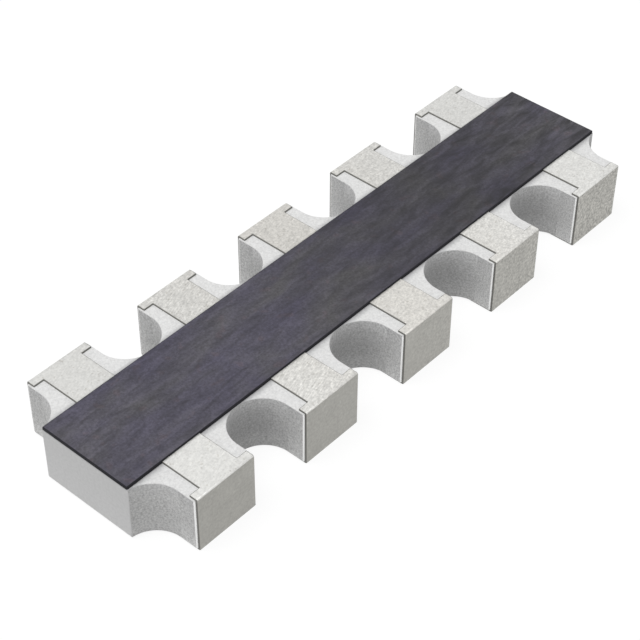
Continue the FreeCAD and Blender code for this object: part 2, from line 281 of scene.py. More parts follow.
def make_world():
    """Even light from all round, and a white background."""
    world = bpy.data.worlds.new("white_room")
    world.use_nodes = True
    tree = world.node_tree
    background = tree.nodes["Background"]
    shown = seen_directly(tree)
    level = add_node(tree, "ShaderNodeMapRange", values={"To Min": WORLD_LEVEL, "To Max": 1.0})
    tree.links.new(shown, level.inputs["Value"])
    background.inputs["Color"].default_value = (1, 1, 1, 1)
    tree.links.new(level.outputs["Result"], background.inputs["Strength"])
    bpy.context.scene.world = world


def make_lamp():
    """One broad soft lamp. A lamp level of 1 shows a white surface that faces it as white."""
    lamp_data = bpy.data.lights.new("soft_lamp", "AREA")
    lamp_data.shape = "DISK"
    lamp_data.size = LAMP_SIZE
    lamp_data.energy = LAMP_LEVEL * (math.pi * LAMP_DISTANCE) ** 2
    lamp = bpy.data.objects.new("soft_lamp", lamp_data)
    bpy.context.scene.collection.objects.link(lamp)
    turn = (-LAMP_DIRECTION).to_track_quat("-Z", "Y").to_matrix().to_4x4()
    lamp.matrix_world = Matrix.Translation(LAMP_DIRECTION * LAMP_DISTANCE) @ turn


make_table()
make_world()
make_lamp()
print("table, world and lamp are set")

# %% [markdown]
# ## Effects that several finishes share
#
# Grain, specks and smears show on the ceramic, the plating and the coating alike, each at its own
# scale. Each effect is a node group with named inputs, built once and placed in every material that
# needs it. The patterns read the place on the object in millimetres, so that a scale of 40 means forty
# grains to the millimetre, and they stay put when the part is turned.


# %% Making a group
def new_group(name, inputs, outputs):
    """An empty node group with named number sockets. Each input is (name, default)."""
    group = bpy.data.node_groups.new(name, "ShaderNodeTree")
    for socket_name, default in inputs:
        socket = group.interface.new_socket(socket_name, in_out="INPUT", socket_type="NodeSocketFloat")
        socket.default_value = default
    for socket_name in outputs:
        group.interface.new_socket(socket_name, in_out="OUTPUT", socket_type="NodeSocketFloat")
    return group, group.nodes.new("NodeGroupInput"), group.nodes.new("NodeGroupOutput")


def use_group(tree, group, **values):
    """The group's outputs in a material, with its inputs set or joined by name."""
    node = add_node(tree, "ShaderNodeGroup", node_tree=group)
    for socket, value in values.items():
        feed(tree, node.inputs[socket.replace("_", " ")], value)
    return node.outputs


def place_in_mm(tree):
    """The place on the object, in millimetres."""
    place = add_node(tree, "ShaderNodeTexCoord")
    in_mm = add_node(tree, "ShaderNodeVectorMath", operation="SCALE", values={"Scale": 1 / MM})
    tree.links.new(place.outputs["Object"], in_mm.inputs[0])
    return in_mm.outputs[0]


def drawn_out(tree, along, across, turn=0.0):
    """The place, turned about the upright line, with its millimetres counted in these lengths."""
    turned = add_node(tree, "ShaderNodeVectorRotate", rotation_type="Z_AXIS")
    tree.links.new(place_in_mm(tree), turned.inputs["Vector"])
    feed(tree, turned.inputs["Angle"], turn)
    lengths = add_node(tree, "ShaderNodeCombineXYZ")
    for socket, length in zip(lengths.inputs, (along, across, across)):
        feed(tree, socket, length)
    divided = add_node(tree, "ShaderNodeVectorMath", operation="DIVIDE")
    tree.links.new(turned.outputs[0], divided.inputs[0])
    tree.links.new(lengths.outputs[0], divided.inputs[1])
    return divided.outputs[0]


# %% Place on the chip
def make_place_group():
    """Where a point is, in millimetres: along and across the row, each with and without its sign, and up."""
    group, _, result = new_group("Place on the chip", [], ["Along", "From middle", "Side", "Out", "Up"])
    parts = add_node(group, "ShaderNodeSeparateXYZ")
    group.links.new(place_in_mm(group), parts.inputs[0])
    group.links.new(parts.outputs["X"], result.inputs["Along"])
    group.links.new(math_node(group, "ABSOLUTE", parts.outputs["X"]), result.inputs["From middle"])
    group.links.new(parts.outputs["Y"], result.inputs["Side"])
    group.links.new(math_node(group, "ABSOLUTE", parts.outputs["Y"]), result.inputs["Out"])
    group.links.new(parts.outputs["Z"], result.inputs["Up"])
    return group


PLACE = make_place_group()


# %% Fine grain
def make_grain_group():
    """Fine grain: a noise with so many grains per millimetre, drawn out along a line if asked."""
    inputs = [("Grains per mm", 40.0), ("Stretch", 1.0), ("Turn", 0.0), ("Contrast", 0.1)]
    group, given, result = new_group("Fine grain", inputs, ["Shade", "Height"])
    noise = add_node(group, "ShaderNodeTexNoise", values={"Detail": 2.0, "Roughness": 0.6})
    stretched = drawn_out(group, given.outputs["Stretch"], 1.0, given.outputs["Turn"])
    group.links.new(stretched, noise.inputs["Vector"])
    group.links.new(given.outputs["Grains per mm"], noise.inputs["Scale"])
    centred = math_node(group, "SUBTRACT", noise.outputs["Fac"], 0.5)
    scaled = math_node(group, "MULTIPLY", centred, given.outputs["Contrast"])
    group.links.new(math_node(group, "ADD", scaled, 1.0), result.inputs["Shade"])
    group.links.new(noise.outputs["Fac"], result.inputs["Height"])
    return group


GRAIN = make_grain_group()


# %% Sparse specks
SPECK_SOFTNESS = 0.07


def make_speck_group():
    """Sparse specks: the peaks of a fine noise, fewer as the threshold rises."""
    group, given, result = new_group("Specks", [("Specks per mm", 30.0), ("Threshold", 0.68)], ["Mask"])
    noise = add_node(group, "ShaderNodeTexNoise", values={"Detail": 1.0, "Roughness": 0.5})
    group.links.new(place_in_mm(group), noise.inputs["Vector"])
    group.links.new(given.outputs["Specks per mm"], noise.inputs["Scale"])
    peak = add_node(group, "ShaderNodeMapRange")
    full = math_node(group, "ADD", given.outputs["Threshold"], SPECK_SOFTNESS)
    group.links.new(noise.outputs["Fac"], peak.inputs["Value"])
    group.links.new(given.outputs["Threshold"], peak.inputs["From Min"])
    group.links.new(full, peak.inputs["From Max"])
    group.links.new(peak.outputs["Result"], result.inputs["Mask"])
    return group


SPECKS = make_speck_group()


# %% Soft smears
SMEAR_SPREAD = (0.3, 0.7)


def make_smear_group():
    """Soft smears drawn out along the row, as a squeegee or a rinse leaves them."""
    inputs = [("Length in mm", 0.4), ("Width in mm", 0.1), ("Wander", 0.4)]
    group, given, result = new_group("Smears", inputs, ["Mask"])
    noise = add_node(group, "ShaderNodeTexNoise", values={"Scale": 1.0, "Detail": 3.0, "Roughness": 0.55})
    group.links.new(drawn_out(group, given.outputs["Length in mm"], given.outputs["Width in mm"]),
                    noise.inputs["Vector"])
    group.links.new(given.outputs["Wander"], noise.inputs["Distortion"])
    faintest, strongest = SMEAR_SPREAD
    spread = add_node(group, "ShaderNodeMapRange", values={"From Min": faintest, "From Max": strongest})
    group.links.new(noise.outputs["Fac"], spread.inputs["Value"])
    group.links.new(spread.outputs["Result"], result.inputs["Mask"])
    return group


SMEARS = make_smear_group()
print("node groups:", [group.name for group in bpy.data.node_groups])

# %% [markdown]
# ## Ceramic
#
# The plate is alumina: its notches are punched before firing, and its ends and the outer faces of its
# fingers are where it was snapped from a larger sheet. So it has four finishes. The fired top is white
# with a sugary grain, and painted shade darkens it a little beside the edge of the coating. The punched
# walls are more speckled, and painted shade makes them greyer. The snapped ends are smooth, with painted
# shade along their tops. The narrow strip beside each plate is pale and partly metallic: a painted highlight.

# %% Ceramic finishes
ALUMINA_COLOUR = (0.81, 0.81, 0.805)
# Notch wall colours: painted shade deep in the notches, and painted light at the mouths, the row's ends, the
# rims and the feet.
WALL_DEEP_SHADE = (0.50, 0.50, 0.50)
WALL_MOUTH_LIGHT = (0.72, 0.72, 0.715)
WALL_ROW_END_LIGHT = (0.66, 0.66, 0.655)
WALL_SPECK = (0.38, 0.38, 0.38)
WALL_RIM_LIGHT = (0.65, 0.65, 0.65)
WALL_FOOT_LIGHT = (0.85, 0.85, 0.845)
END_COLOUR = (0.76, 0.76, 0.76)
# The strip beside each plate is pale and partly metallic, so that it shows as a bright line: a painted
# highlight.
STRIP_HIGHLIGHT_COLOUR = (0.95, 0.95, 0.945)
# Grey for the specks on the fired top, and for the painted shade beside the coating's edge.
SPECK_AND_SHADE_GREY = (0.52, 0.52, 0.525)
COATING_SHADE_WIDTH = 0.07
FIRED_SPECK_SHARE = 0.25
FIRED_ROUGHNESS = (0.65, 0.85)
NOTCH_REACH = (0.55, 0.99)
END_NOTCH = (2.4, 2.8)
RIM_DEPTH = 0.18
FOOT_HEIGHT = 0.30
RIM_SHARE = 0.7
FOOT_SHARE = 0.6
WALL_SPECK_SHARE = 0.4
WALL_ROUGHNESS = (0.75, 0.95)
# Painted shadow along the top of the end faces, under the coating's edge, and painted shade over their upper
# part.
TOP_SHADOW_DEPTH = 0.025
TOP_SHADOW_SHADE = 0.8
END_TOP_SHADE = 0.96
END_ROUGHNESS = (0.6, 0.8)
STRIP_ROUGHNESS = (0.3, 0.5)
GRAIN_RELIEF = 0.0006 * MM
coating_half_width = coating_high.y / MM
ceramic_foot = ceramic_low.z / MM
ceramic_top = ceramic_high.z / MM


def make_fired_face():
    """The fired top and underside."""
    material, tree, shader = new_material("alumina_fired_face", ALUMINA_COLOUR, Specular_IOR_Level=0.3)
    place = use_group(tree, PLACE)
    sugar = use_group(tree, GRAIN, Grains_per_mm=52.0, Contrast=0.5)
    cloud = use_group(tree, GRAIN, Grains_per_mm=5.0, Contrast=0.10)
    specks = use_group(tree, SPECKS, Specks_per_mm=45.0, Threshold=0.70)
    # Painted shade: the fired top is darkened in a band along the coating's edge, where the coating shades
    # it.
    beside_ink = band(tree, place["Out"], coating_half_width + COATING_SHADE_WIDTH, coating_half_width)
    under_ink_edge = band(tree, place["Out"], coating_half_width - COATING_SHADE_WIDTH, coating_half_width)
    on_top = band(tree, place["Up"], ceramic_foot, ceramic_top)
    at_ink_edge = math_node(tree, "MULTIPLY", beside_ink, under_ink_edge)
    coating_edge_shade = math_node(tree, "MULTIPLY", at_ink_edge, on_top)
    colour = mix_colours(tree, coating_edge_shade, ALUMINA_COLOUR, SPECK_AND_SHADE_GREY)
    colour = mix_colours(tree, weaken(tree, specks["Mask"], FIRED_SPECK_SHARE), colour, SPECK_AND_SHADE_GREY)
    feed(tree, shader.inputs["Base Color"], shade_colour(tree, colour, sugar["Shade"], cloud["Shade"]))
    feed(tree, shader.inputs["Roughness"], vary(tree, sugar["Height"], *FIRED_ROUGHNESS))
    add_bump(tree, shader, sugar["Height"], GRAIN_RELIEF)
    return material


def make_punched_wall():
    """The walls of the notches: finely speckled, with painted shade deep in, and painted light at their
    mouths, rims and feet and near the row's ends.
    """
    material, tree, shader = new_material("alumina_punched_wall", WALL_MOUTH_LIGHT, Specular_IOR_Level=0.2)
    place = use_group(tree, PLACE)
    speckle = use_group(tree, GRAIN, Grains_per_mm=60.0, Contrast=1.15)
    cloud = use_group(tree, GRAIN, Grains_per_mm=7.0, Contrast=0.06)
    specks = use_group(tree, SPECKS, Specks_per_mm=45.0, Threshold=0.68)
    # Painted shade and painted light: greyer deep in the notch, paler at its mouth, near the row's ends, at
    # the rim and at the foot.
    colour = mix_colours(tree, band(tree, place["Out"], *NOTCH_REACH), WALL_DEEP_SHADE, WALL_MOUTH_LIGHT)
    colour = mix_colours(tree, band(tree, place["From middle"], *END_NOTCH), colour, WALL_ROW_END_LIGHT)
    rim = band(tree, place["Up"], ceramic_top - RIM_DEPTH, ceramic_top)
    colour = mix_colours(tree, weaken(tree, rim, RIM_SHARE), colour, WALL_RIM_LIGHT)
    foot = band(tree, place["Up"], FOOT_HEIGHT, ceramic_foot)
    colour = mix_colours(tree, weaken(tree, foot, FOOT_SHARE), colour, WALL_FOOT_LIGHT)
    colour = mix_colours(tree, weaken(tree, specks["Mask"], WALL_SPECK_SHARE), colour, WALL_SPECK)
    feed(tree, shader.inputs["Base Color"], shade_colour(tree, colour, speckle["Shade"], cloud["Shade"]))
    feed(tree, shader.inputs["Roughness"], vary(tree, speckle["Height"], *WALL_ROUGHNESS))
    add_bump(tree, shader, speckle["Height"], 2 * GRAIN_RELIEF)
    return material


def make_snapped_end():
    """The two end faces, painted darker towards their tops as painted shade, with a painted shadow along the
    top under the coating.
    """
    material, tree, shader = new_material("alumina_snapped_end", END_COLOUR, Specular_IOR_Level=0.3)
    place = use_group(tree, PLACE)
    grain = use_group(tree, GRAIN, Grains_per_mm=35.0, Contrast=0.22)
    cloud = use_group(tree, GRAIN, Grains_per_mm=4.0, Contrast=0.04)
    # Painted shade: darker towards the top, and a painted shadow in a band just under the coating's edge.
    upper = vary(tree, band(tree, place["Up"], ceramic_foot, ceramic_top), 1.0, END_TOP_SHADE)
    top_shadow = vary(tree, band(tree, place["Up"], ceramic_top - TOP_SHADOW_DEPTH, ceramic_top), 1.0, TOP_SHADOW_SHADE)
    colour = shade_colour(tree, END_COLOUR, grain["Shade"], cloud["Shade"], upper, top_shadow)
    feed(tree, shader.inputs["Base Color"], colour)
    feed(tree, shader.inputs["Roughness"], vary(tree, grain["Height"], *END_ROUGHNESS))
    add_bump(tree, shader, grain["Height"], GRAIN_RELIEF)
    return material


def make_bare_strip():
    """The narrow strip of ceramic beside each plate, pale and partly metallic: a painted highlight."""
    material, tree, shader = new_material("alumina_bare_strip", STRIP_HIGHLIGHT_COLOUR, Metallic=0.55)
    grain = use_group(tree, GRAIN, Grains_per_mm=40.0, Contrast=0.06)
    feed(tree, shader.inputs["Base Color"], shade_colour(tree, STRIP_HIGHLIGHT_COLOUR, grain["Shade"]))
    feed(tree, shader.inputs["Roughness"], vary(tree, grain["Height"], *STRIP_ROUGHNESS))
    return material


ALUMINA_FINISHES = [make_fired_face(), make_punched_wall(), make_snapped_end(), make_bare_strip()]
print("ceramic finishes:", [finish.name for finish in ALUMINA_FINISHES])

# %% [markdown]
# The plate's outline is drawn once: a notch, the two straight walls and the outer face of one finger.
# The stretch is repeated along the row, cut at the end faces, mirrored to the other side, filled and
# pulled up to its thickness. A tiny bevel softens its edges, as firing does, but not the two that were
# snapped together with the ends of the coating.

# %% Ceramic plate
NOTCH_STEPS = 40
CERAMIC_EDGE = 0.006 * MM
FINGER_CORNER = 0.012 * MM
FINGER_CORNER_STEPS = 4
SHARP_ANGLE = math.radians(60)
FLAT_AREA = 0.05 * MM ** 2
CORNER_ANGLE = math.radians(30)
UPRIGHT_SLOPE = 0.3
PLACE_TOLERANCE = 0.0005 * MM
JOIN_DISTANCE = 0.0001 * MM
FIRED, WALL, END, STRIP = range(4)


def draw_notch(bm):
    """The first notch on the -Y side, and the outer face of the finger that follows it."""
    centre = Vector((-pitch * TERMINALS_PER_SIDE / 2, notch_centre_y, 0))
    start = bm.verts.new(centre + Vector((-notch_radius, 0, 0)))
    arc = bmesh.ops.spin(bm, geom=[start], cent=centre, axis=(0, 0, -1), angle=math.pi,
                         steps=NOTCH_STEPS, use_duplicate=False)
    end = next(item for item in arc["geom_last"] if isinstance(item, bmesh.types.BMVert))
    mouth_verts = []
    for wall_end in (start, end):
        wall = bmesh.ops.extrude_vert_indiv(bm, verts=[wall_end])
        mouth = wall["verts"][0]
        mouth.co.y = finger_face
        mouth_verts.append(mouth)
    outer_face = bmesh.ops.extrude_vert_indiv(bm, verts=[mouth_verts[1]])
    outer_face["verts"][0].co.x = mouth_verts[0].co.x + pitch


def draw_outline(bm):
    """The closed outline of the plate, on the plane of its lower face."""
    draw_notch(bm)
    stretch = bm.verts[:] + bm.edges[:]
    for count in range(1, TERMINALS_PER_SIDE + 1):
        copy = bmesh.ops.duplicate(bm, geom=stretch)
        moved = [item for item in copy["geom"] if isinstance(item, bmesh.types.BMVert)]
        bmesh.ops.translate(bm, verts=moved, vec=(pitch * count, 0, 0))
    bmesh.ops.remove_doubles(bm, verts=bm.verts, dist=JOIN_DISTANCE)
    for side in (ceramic_low, ceramic_high):
        everything = bm.verts[:] + bm.edges[:]
        outwards = Vector((1, 0, 0)) if side.x > 0 else Vector((-1, 0, 0))
        bmesh.ops.bisect_plane(bm, geom=everything, plane_co=side, plane_no=outwards, clear_outer=True)
    bmesh.ops.mirror(bm, geom=bm.verts[:] + bm.edges[:], matrix=Matrix.Identity(4), merge_dist=0, axis="Y")
    ends = [vert for vert in bm.verts if len(vert.link_edges) == 1]
    for side_x in (ceramic_low.x, ceramic_high.x):
        pair = [vert for vert in ends if (vert.co.x > 0) == (side_x > 0)]
        bmesh.ops.contextual_create(bm, geom=pair)


def near(first, second):
    """Whether two places are the same, to the tolerance of the model."""
    return abs(first - second) < PLACE_TOLERANCE


def soften_edges(bm, edges, radius, segments=2):
    """A small round on these edges."""
    bmesh.ops.bevel(bm, geom=edges, offset=radius, segments=segments, profile=0.5, affect="EDGES",
                    material=-1)


def is_flat(face):
    """Whether a face is one of the large flat ones."""
    return face.calc_area() > FLAT_AREA


def make_piece(bm, name, materials):
    """An object from a finished bmesh: its rounds are smooth, and its flat faces and true corners aren't."""
    bmesh.ops.recalc_face_normals(bm, faces=bm.faces)
    if bm.calc_volume(signed=True) < 0:
        bmesh.ops.reverse_faces(bm, faces=bm.faces)
    for face in bm.faces:
        face.smooth = True
    for edge in bm.edges:
        corner = edge.is_manifold and edge.calc_face_angle() > SHARP_ANGLE
        edge.smooth = not (corner or any(is_flat(face) for face in edge.link_faces))
    mesh = bpy.data.meshes.new(name)
    bm.to_mesh(mesh)
    bm.free()
    piece = bpy.data.objects.new(name, mesh)
    bpy.context.scene.collection.objects.link(piece)
    for material in materials:
        mesh.materials.append(material)
    return piece


def finish_ceramic_faces(bm):
    """Gives each face the number of its finish, by where it is and the way it looks."""
    for face in bm.faces:
        middle = face.calc_center_median()
        if abs(face.normal.z) > UPRIGHT_SLOPE:
            face.material_index = FIRED
        elif abs(middle.y) > ceramic_high.y - FINGER_CORNER:
            face.material_index = STRIP
        elif abs(middle.x) > ceramic_high.x - CERAMIC_EDGE:
            face.material_index = END
        else:
            face.material_index = WALL


def is_finger_corner(edge):
    """Whether an edge is one of the upright ones beside a finger's outer face."""
    outermost = all(near(abs(vert.co.y), ceramic_high.y) for vert in edge.verts)
    return outermost and not near(edge.verts[0].co.z, edge.verts[1].co.z)


def is_under_coating(edge):
    """Whether an edge is a snapped one at the end of the top face, where the coating ends too."""
    at_end = all(near(abs(vert.co.x), ceramic_high.x) for vert in edge.verts)
    return at_end and all(near(vert.co.z, ceramic_high.z) for vert in edge.verts)


def make_ceramic():
    """The whole plate, with its edges softened and a finish for each of its faces."""
    bm = bmesh.new()
    draw_outline(bm)
    bmesh.ops.translate(bm, verts=bm.verts, vec=(0, 0, ceramic_low.z))
    bmesh.ops.contextual_create(bm, geom=bm.edges[:])
    plate = bmesh.ops.extrude_face_region(bm, geom=bm.faces[:])
    raised = [item for item in plate["geom"] if isinstance(item, bmesh.types.BMVert)]
    bmesh.ops.translate(bm, verts=raised, vec=(0, 0, ceramic_high.z - ceramic_low.z))
    bmesh.ops.recalc_face_normals(bm, faces=bm.faces)
    finger_corners = [edge for edge in bm.edges if is_finger_corner(edge)]
    soften_edges(bm, finger_corners, FINGER_CORNER, FINGER_CORNER_STEPS)
    corners = [edge for edge in bm.edges
               if edge.calc_face_angle() > CORNER_ANGLE and not is_under_coating(edge)]
    soften_edges(bm, corners, CERAMIC_EDGE)
    finish_ceramic_faces(bm)
    return make_piece(bm, "ceramic_plate", ALUMINA_FINISHES)


ceramic_plate = make_ceramic()
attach(ceramic_plate, "root")
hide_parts("ceramic_substrate")
print("ceramic plate:", len(ceramic_plate.data.polygons), "faces")

# %% [markdown]
# ## Plated terminals
#
# Each terminal is tin plating over silver print, wrapped round the end of a finger: a T shaped pad on
# top, a plate down the outer face and a land underneath. The pad and the land are bright and grainy,
# because they are plated over a rough print. The plate is the same tin, smoother and painted greyer as
# painted shade, and the thin edges are painted dark as painted shade.

# %% Plating finishes
PAD_BRIGHT = (0.645, 0.643, 0.625)
PAD_DULL = (0.61, 0.597, 0.567)
PAD_STAIN = (0.40, 0.38, 0.34)
# The plate and the thin edges are the pad's tin, painted darker as painted shade.
PLATE_SHADED_TIN = (0.355, 0.349, 0.325)
PLATE_LIGHT = (0.42, 0.415, 0.39)
EDGE_SHADED_TIN = (0.19, 0.187, 0.176)
PAD_RELIEF = 0.0009 * MM
PLATE_RELIEF = PAD_RELIEF / 3
PAD_GRAIN = (0.7, 0.45)
PAD_GRAIN_GAIN = 1.35
PAD_STAIN_SHARE = 0.4
PAD_TONE = 1.04
PAD_ROUGHNESS = (0.4, 0.65)
SIDE_CHANGE = (-0.1, 0.1)
DULL_SIDE = 0.93
CONTACT_WIDTH = 0.03
CONTACT_SHADE = 0.8
MOTTLE_START = -0.8
PLATE_MOTTLE = (0.6, 2.0)
PLATE_TONE = 1.11
PLATE_SPECK_SHARE = 0.5
PLATE_ROUGHNESS = (0.35, 0.55)
EDGE_ROUGHNESS = (0.5, 0.7)
SMOOTH_START = 1.7
RIPPLE_CONTRAST = (0.25, 0.7)
RIPPLE_TURN = math.radians(-16)
RIPPLED_TERMINAL = -pitch / MM
RIPPLE_REACH = (0.8, 0.4)
outer_terminal = 2 * pitch / MM


def make_pad_finish():
    """Bright and grainy: duller in the middle of the row, smoother at its ends, and rippled on one finger."""
    material, tree, shader = new_material("tin_pad", PAD_BRIGHT, Metallic=1.0)
    place = use_group(tree, PLACE)
    at_row_end = band(tree, place["From middle"], SMOOTH_START, outer_terminal)
    along_row = band(tree, place["Along"], -outer_terminal, outer_terminal)
    strength = vary(tree, at_row_end, *PAD_GRAIN)
    pad_contrast = math_node(tree, "MULTIPLY", strength, vary(tree, along_row, 1.0, PAD_GRAIN_GAIN))
    grain = use_group(tree, GRAIN, Grains_per_mm=56.0, Contrast=pad_contrast)
    from_rippled = math_node(tree, "SUBTRACT", place["Along"], RIPPLED_TERMINAL)
    off_rippled = math_node(tree, "ABSOLUTE", from_rippled)
    rippled = vary(tree, band(tree, off_rippled, *RIPPLE_REACH), *RIPPLE_CONTRAST)
    ripple = use_group(tree, GRAIN, Grains_per_mm=68.0, Stretch=5.0, Turn=RIPPLE_TURN, Contrast=rippled)
    cloud = use_group(tree, GRAIN, Grains_per_mm=6.0, Contrast=0.12)
    specks = use_group(tree, SPECKS, Specks_per_mm=34.0, Threshold=0.66)
    colour = mix_colours(tree, band(tree, place["From middle"], 0.0, outer_terminal), PAD_DULL, PAD_BRIGHT)
    stained = mix_colours(tree, weaken(tree, specks["Mask"], PAD_STAIN_SHARE), colour, PAD_STAIN)
    side = vary(tree, band(tree, place["Side"], *SIDE_CHANGE), 1.0, DULL_SIDE)
    # Painted shade: the pads are darkened in a band beside the coating's edge.
    beside_coating = band(tree, place["Out"], coating_half_width + CONTACT_WIDTH, coating_half_width)
    contact = vary(tree, beside_coating, 1.0, CONTACT_SHADE)
    tone = vary(tree, along_row, 1.0, PAD_TONE)
    colour = shade_colour(tree, stained, grain["Shade"], ripple["Shade"], cloud["Shade"], side, contact, tone)
    feed(tree, shader.inputs["Base Color"], colour)
    feed(tree, shader.inputs["Roughness"], vary(tree, grain["Height"], *PAD_ROUGHNESS))
    add_bump(tree, shader, math_node(tree, "ADD", grain["Height"], ripple["Height"]), PAD_RELIEF)
    return material


def make_plate_finish():
    """Smoother, and painted greyer as painted shade, with a mottle that grows stronger along the row."""
    material, tree, shader = new_material("tin_plate", PLATE_SHADED_TIN, Metallic=1.0)
    place = use_group(tree, PLACE)
    mottle = vary(tree, band(tree, place["Along"], MOTTLE_START, outer_terminal), *PLATE_MOTTLE)
    tone = vary(tree, band(tree, place["Along"], -outer_terminal, outer_terminal), 1.0, PLATE_TONE)
    grain = use_group(tree, GRAIN, Grains_per_mm=42.0, Contrast=mottle)
    cloud = use_group(tree, GRAIN, Grains_per_mm=5.0, Contrast=0.2)
    specks = use_group(tree, SPECKS, Specks_per_mm=20.0, Threshold=0.66)
    light_specks = weaken(tree, specks["Mask"], PLATE_SPECK_SHARE)
    colour = mix_colours(tree, light_specks, PLATE_SHADED_TIN, PLATE_LIGHT)
    feed(tree, shader.inputs["Base Color"], shade_colour(tree, colour, grain["Shade"], cloud["Shade"], tone))
    feed(tree, shader.inputs["Roughness"], vary(tree, grain["Height"], *PLATE_ROUGHNESS))
    add_bump(tree, shader, grain["Height"], PLATE_RELIEF)
    return material


def make_edge_finish():
    """Painted dark as painted shade, where the plating ends."""
    material, tree, shader = new_material("tin_edge", EDGE_SHADED_TIN, Metallic=1.0)
    grain = use_group(tree, GRAIN, Grains_per_mm=40.0, Contrast=0.2)
    feed(tree, shader.inputs["Base Color"], shade_colour(tree, EDGE_SHADED_TIN, grain["Shade"]))
    feed(tree, shader.inputs["Roughness"], vary(tree, grain["Height"], *EDGE_ROUGHNESS))
    return material


TIN_FINISHES = [make_pad_finish(), make_plate_finish(), make_edge_finish()]
print("plating finishes:", [finish.name for finish in TIN_FINISHES])

# %% [markdown]
# The wrapped strip is drawn as its section, a C round the finger, and pulled out to the terminal's
# width. The stem of the T is pulled from the middle of the lip. The two long outer edges get the large
# round that plating takes over a corner, and the other edges that show get a very small one.

# %% Terminal shape
PLATING_EDGE = 0.006 * MM
ROUND_STEPS = 6
FLAT_ANGLE = math.radians(1)
ALONG_AXIS = 0.9
lip_edge = finger_face + LIP_DEPTH
stem_half_width = terminal_half_width - STEM_SHOULDER
land_edge = land_print_high.y + PLATING_BESIDE_PRINT


def draw_wrap(bm):
    """The C section round the finger, pulled out along the row."""
    outside, top = terminal_low.y, terminal_high.z
    section = [
        (outside, top), (lip_edge, top), (lip_edge, ceramic_high.z), (finger_face, ceramic_high.z),
        (finger_face, ceramic_low.z), (land_edge, ceramic_low.z), (land_edge, 0), (outside, 0),
    ]
    side = bm.faces.new([bm.verts.new((-terminal_half_width, across, height)) for across, height in section])
    strip = bmesh.ops.extrude_face_region(bm, geom=[side])
    pulled = [item for item in strip["geom"] if isinstance(item, bmesh.types.BMVert)]
    bmesh.ops.translate(bm, verts=pulled, vec=(2 * terminal_half_width, 0, 0))


def draw_stem(bm):
    """The stem of the T, from the middle of the lip to the coating."""
    for side_x in (-stem_half_width, stem_half_width):
        everything = bm.verts[:] + bm.edges[:] + bm.faces[:]
        bmesh.ops.bisect_plane(bm, geom=everything, plane_co=(side_x, 0, 0), plane_no=(1, 0, 0))
    middle = Vector((0, lip_edge, (ceramic_high.z + terminal_high.z) / 2))
    lip_wall = min(bm.faces, key=lambda face: (face.calc_center_median() - middle).length)
    stem = bmesh.ops.extrude_face_region(bm, geom=[lip_wall])
    pulled = [item for item in stem["geom"] if isinstance(item, bmesh.types.BMVert)]
    bmesh.ops.translate(bm, verts=pulled, vec=(0, coating_low.y - lip_edge, 0))
    bmesh.ops.delete(bm, geom=[lip_wall], context="FACES_ONLY")
    bmesh.ops.dissolve_limit(bm, angle_limit=FLAT_ANGLE, verts=bm.verts[:], edges=bm.edges[:])
    bmesh.ops.recalc_face_normals(bm, faces=bm.faces)


def is_seat(face):
    """Whether a face of the terminal lies against the ceramic or the coating."""
    middle = face.calc_center_median()
    under_pad = face.normal.z < -ALONG_AXIS and near(middle.z, ceramic_high.z)
    over_land = face.normal.z > ALONG_AXIS and near(middle.z, ceramic_low.z)
    behind_plate = face.normal.y > ALONG_AXIS and near(middle.y, finger_face)
    at_coating = face.normal.y > ALONG_AXIS and near(middle.y, coating_low.y)
    return under_pad or over_land or behind_plate or at_coating


def is_outer_corner(edge):
    """Whether an edge is one of the two long ones on the outer side of the wrap."""
    ends_outside = all(near(vert.co.y, terminal_low.y) for vert in edge.verts)
    along_row = near(edge.verts[0].co.z, edge.verts[1].co.z)
    return ends_outside and along_row


def round_terminal(bm):
    """The large rounds and then the small ones."""
    soften_edges(bm, [edge for edge in bm.edges if is_outer_corner(edge)], TERMINAL_RADIUS, ROUND_STEPS)
    seats = {face for face in bm.faces if is_seat(face)}
    shown = [edge for edge in bm.edges
             if edge.calc_face_angle() > CORNER_ANGLE and not seats.intersection(edge.link_faces)]
    soften_edges(bm, shown, PLATING_EDGE)


# %% [markdown]
# The plating grows over the silver prints on both faces of the finger, so their space is cut out of it.
# A Boolean modifier does that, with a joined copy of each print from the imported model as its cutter,
# and its result is taken straight back into the mesh.


# %% Cut the prints out of the plating
def joined_copy(node):
    """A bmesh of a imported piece, with its loose triangles joined and its flat faces made whole."""
    bm = bmesh.new()
    bm.from_mesh(CAD_NODES[node].data)
    bmesh.ops.remove_doubles(bm, verts=bm.verts, dist=JOIN_DISTANCE)
    bmesh.ops.dissolve_limit(bm, angle_limit=FLAT_ANGLE, verts=bm.verts[:], edges=bm.edges[:])
    return bm


def scratch_object(bm, name):
    """An object that holds a bmesh for a moment."""
    mesh = bpy.data.meshes.new(name)
    bm.to_mesh(mesh)
    bm.free()
    scratch = bpy.data.objects.new(name, mesh)
    bpy.context.scene.collection.objects.link(scratch)
    return scratch


def cut_out(bm, nodes):
    """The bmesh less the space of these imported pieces."""
    body = scratch_object(bm, "cut_body")
    cutters = [scratch_object(joined_copy(node), "cutter") for node in nodes]
    for cutter in cutters:
        cut = body.modifiers.new("space", "BOOLEAN")
        cut.operation = "DIFFERENCE"
        cut.solver = "EXACT"
        cut.object = cutter
    bpy.context.view_layer.update()
    depsgraph = bpy.context.evaluated_depsgraph_get()
    result = bpy.data.meshes.new_from_object(body.evaluated_get(depsgraph))
    cut_bm = bmesh.new()
    cut_bm.from_mesh(result)
    for scratch in [body, *cutters]:
        bpy.data.objects.remove(scratch)
    bpy.data.meshes.remove(result)
    return cut_bm


def make_terminal_shape():
    """The bmesh of terminal 3, which stands in the middle of the -Y side."""
    bm = bmesh.new()
    draw_wrap(bm)
    draw_stem(bm)
    round_terminal(bm)
    return cut_out(bm, ["top_electrode_03", "back_electrode_03"])


